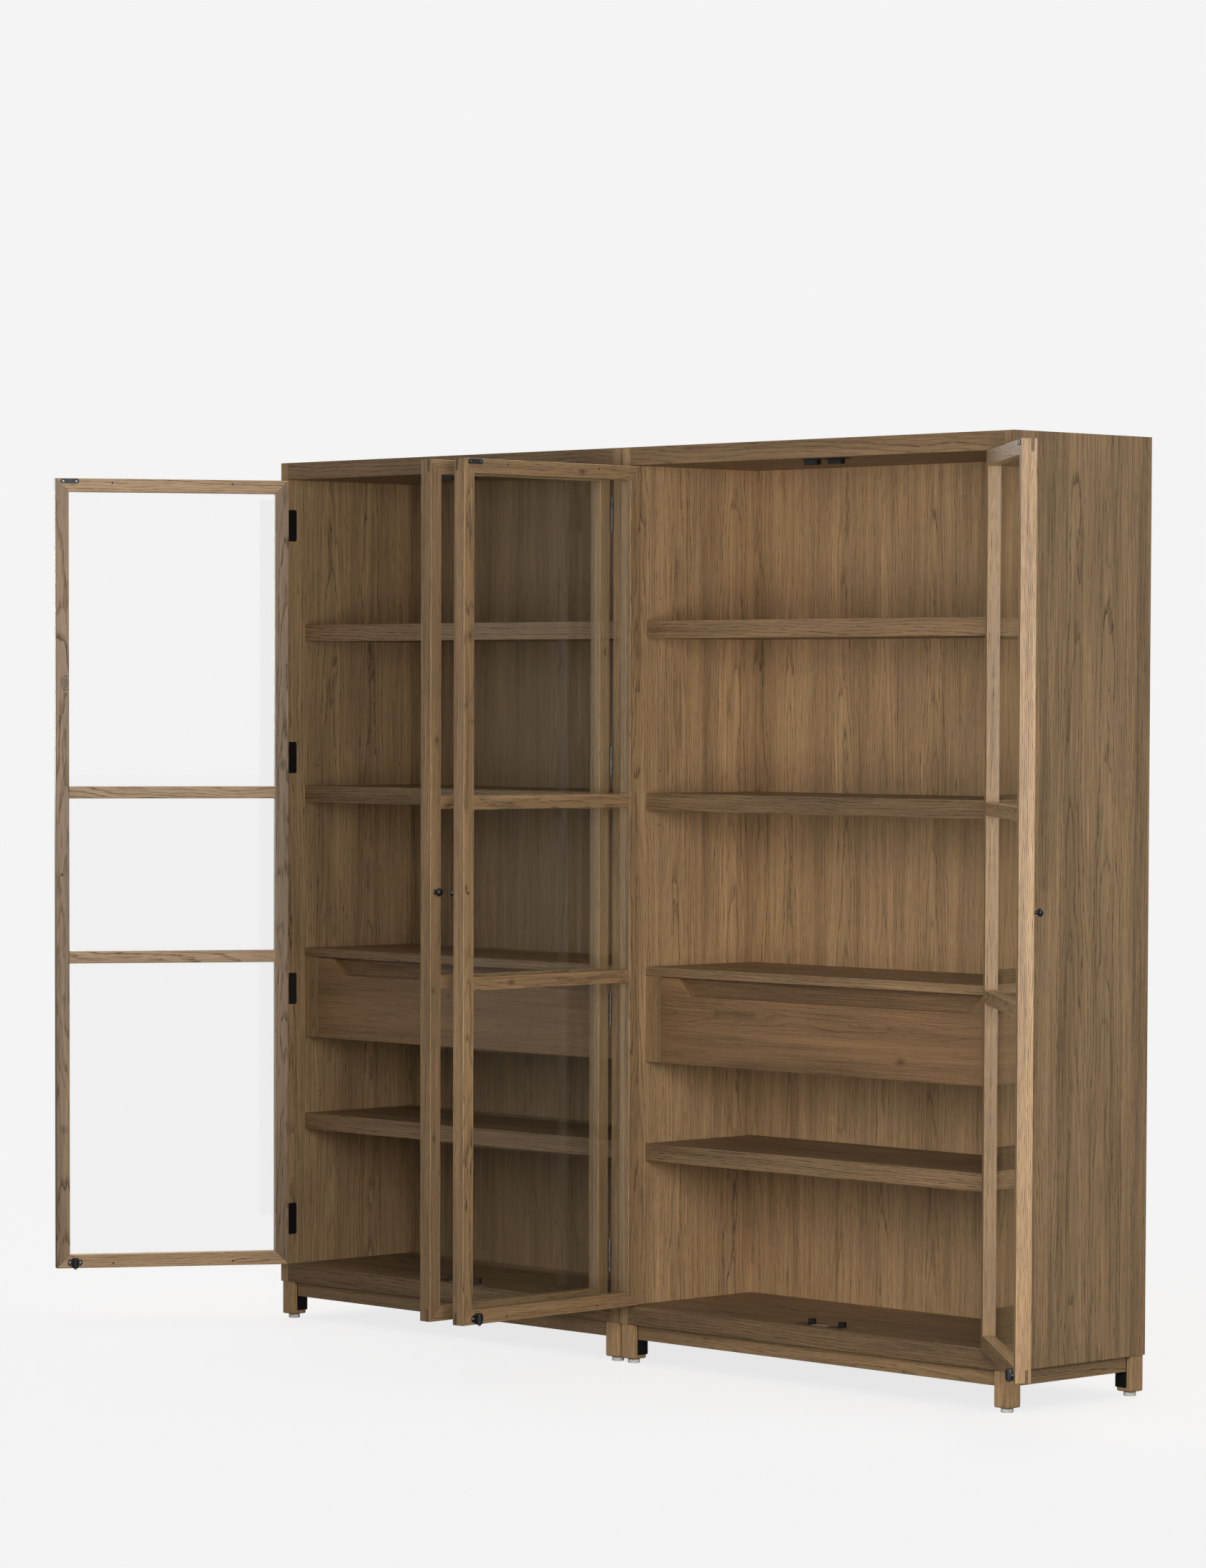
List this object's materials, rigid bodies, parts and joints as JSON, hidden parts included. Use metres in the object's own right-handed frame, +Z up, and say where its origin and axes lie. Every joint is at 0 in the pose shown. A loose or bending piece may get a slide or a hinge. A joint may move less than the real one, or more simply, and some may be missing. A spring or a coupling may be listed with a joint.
{
  "type": "glazed double bookcase",
  "caption": "Pair of tall oak bookcases with glazed swing doors, adjustable shelves, an inner drawer each and short legs on levelling glides.",
  "frame": {"origin": "on the floor, at the centre of the box round the pair with their doors open as stored", "axes": "+X along the pair from the left cabinet to the right one, +Y from the doors to the back, +Z up"},
  "size_m": [3.143, 1.041, 2.134],
  "materials": {
    "oak": "wire-brushed oak and oak veneer with a drifted grey-brown matte finish",
    "glass": "clear float glass, 5 mm",
    "hardware": "black satin powder coat",
    "steel": "plain bright steel",
    "glide": "white nylon moulded on a threaded steel stem"
  },
  "bodies": {
    "carcass": {"aprons": "oak", "corner_brackets": "hardware", "drawer_runners": "oak", "fixed_hinge_leaves": "hardware", "floor_keepers": "hardware", "left_cabinet_back": "oak", "left_cabinet_floor": "oak", "left_cabinet_left_side": "oak", "left_cabinet_right_side": "oak", "left_cabinet_top": "oak", "left_drawer_fillers": "oak", "left_drawer_shelf": "oak", "left_lower_shelf": "oak", "left_middle_shelf": "oak", "left_upper_shelf": "oak", "legs": "oak", "right_cabinet_back": "oak", "right_cabinet_floor": "oak", "right_cabinet_left_side": "oak", "right_cabinet_right_side": "oak", "right_cabinet_top": "oak", "right_drawer_fillers": "oak", "right_drawer_shelf": "oak", "right_lower_shelf": "oak", "right_middle_shelf": "oak", "right_upper_shelf": "oak", "shelf_pins": "steel", "top_catches": "hardware"},
    "door_1": {"door_1_fittings": "hardware", "door_1_frame": "oak", "door_1_glass": "glass", "door_1_knob": "hardware"},
    "door_1_plunger": {"door_1_latch_plunger": "steel"},
    "door_2": {"door_2_fittings": "hardware", "door_2_frame": "oak", "door_2_glass": "glass", "door_2_knob": "hardware"},
    "door_2_plunger": {"door_2_latch_plunger": "steel"},
    "door_3": {"door_3_fittings": "hardware", "door_3_frame": "oak", "door_3_glass": "glass", "door_3_knob": "hardware"},
    "door_3_plunger": {"door_3_latch_plunger": "steel"},
    "door_4": {"door_4_fittings": "hardware", "door_4_frame": "oak", "door_4_glass": "glass", "door_4_knob": "hardware"},
    "door_4_plunger": {"door_4_latch_plunger": "steel"},
    "left_drawer": {"left_drawer_box": "oak", "left_drawer_front": "oak"},
    "left_front_left_leveller_foot": {"left_front_left_leveller": "glide"},
    "left_front_right_leveller_foot": {"left_front_right_leveller": "glide"},
    "left_rear_left_leveller_foot": {"left_rear_left_leveller": "glide"},
    "left_rear_right_leveller_foot": {"left_rear_right_leveller": "glide"},
    "right_drawer": {"right_drawer_box": "oak", "right_drawer_front": "oak"},
    "right_front_left_leveller_foot": {"right_front_left_leveller": "glide"},
    "right_front_right_leveller_foot": {"right_front_right_leveller": "glide"},
    "right_rear_left_leveller_foot": {"right_rear_left_leveller": "glide"},
    "right_rear_right_leveller_foot": {"right_rear_right_leveller": "glide"}
  },
  "joints": [
    {"name": "door_1_hinge", "type": "hinge", "parent": "carcass", "child": "door_1", "pos_m": [-1.25626, 0.06002, 1.11425], "axis": [0, 0, -1], "range_deg": [-121.8, 52.2]},
    {"name": "door_1_plunger_slide", "type": "slide", "parent": "door_1", "child": "door_1_plunger", "axis": [0, 0, 1], "range_m": [0, 0.003], "stiffness_N_per_m": 400, "springref_m": -0.004},
    {"name": "door_2_hinge", "type": "hinge", "parent": "carcass", "child": "door_2", "pos_m": [-0.09427, 0.06002, 1.11425], "axis": [0, 0, 1], "range_deg": [-92.3, 1.3]},
    {"name": "door_2_plunger_slide", "type": "slide", "parent": "door_2", "child": "door_2_plunger", "axis": [0, 0, 1], "range_m": [0, 0.003], "stiffness_N_per_m": 400, "springref_m": -0.004},
    {"name": "door_3_hinge", "type": "hinge", "parent": "carcass", "child": "door_3", "pos_m": [-0.03426, 0.06002, 1.11425], "axis": [0, 0, -1], "range_deg": [-87.1, 1.5]},
    {"name": "door_3_plunger_slide", "type": "slide", "parent": "door_3", "child": "door_3_plunger", "axis": [0, 0, 1], "range_m": [0, 0.003], "stiffness_N_per_m": 400, "springref_m": -0.004},
    {"name": "door_4_hinge", "type": "hinge", "parent": "carcass", "child": "door_4", "pos_m": [1.12773, 0.06002, 1.11425], "axis": [0, 0, 1], "range_deg": [-139.2, 34.8]},
    {"name": "door_4_plunger_slide", "type": "slide", "parent": "door_4", "child": "door_4_plunger", "axis": [0, 0, 1], "range_m": [0, 0.003], "stiffness_N_per_m": 400, "springref_m": -0.004},
    {"name": "left_drawer_slide", "type": "slide", "parent": "carcass", "child": "left_drawer", "axis": [0, -1, 0], "range_m": [0, 0.25]},
    {"name": "right_drawer_slide", "type": "slide", "parent": "carcass", "child": "right_drawer", "axis": [0, -1, 0], "range_m": [0, 0.25]},
    {"name": "left_front_left_leveller_screw", "type": "slide", "parent": "carcass", "child": "left_front_left_leveller_foot", "axis": [0, 0, -1], "range_m": [0, 0.014]},
    {"name": "left_front_right_leveller_screw", "type": "slide", "parent": "carcass", "child": "left_front_right_leveller_foot", "axis": [0, 0, -1], "range_m": [0, 0.014]},
    {"name": "left_rear_left_leveller_screw", "type": "slide", "parent": "carcass", "child": "left_rear_left_leveller_foot", "axis": [0, 0, -1], "range_m": [0, 0.014]},
    {"name": "left_rear_right_leveller_screw", "type": "slide", "parent": "carcass", "child": "left_rear_right_leveller_foot", "axis": [0, 0, -1], "range_m": [0, 0.014]},
    {"name": "right_front_left_leveller_screw", "type": "slide", "parent": "carcass", "child": "right_front_left_leveller_foot", "axis": [0, 0, -1], "range_m": [0, 0.014]},
    {"name": "right_front_right_leveller_screw", "type": "slide", "parent": "carcass", "child": "right_front_right_leveller_foot", "axis": [0, 0, -1], "range_m": [0, 0.014]},
    {"name": "right_rear_left_leveller_screw", "type": "slide", "parent": "carcass", "child": "right_rear_left_leveller_foot", "axis": [0, 0, -1], "range_m": [0, 0.014]},
    {"name": "right_rear_right_leveller_screw", "type": "slide", "parent": "carcass", "child": "right_rear_right_leveller_foot", "axis": [0, 0, -1], "range_m": [0, 0.014]}
  ]
}
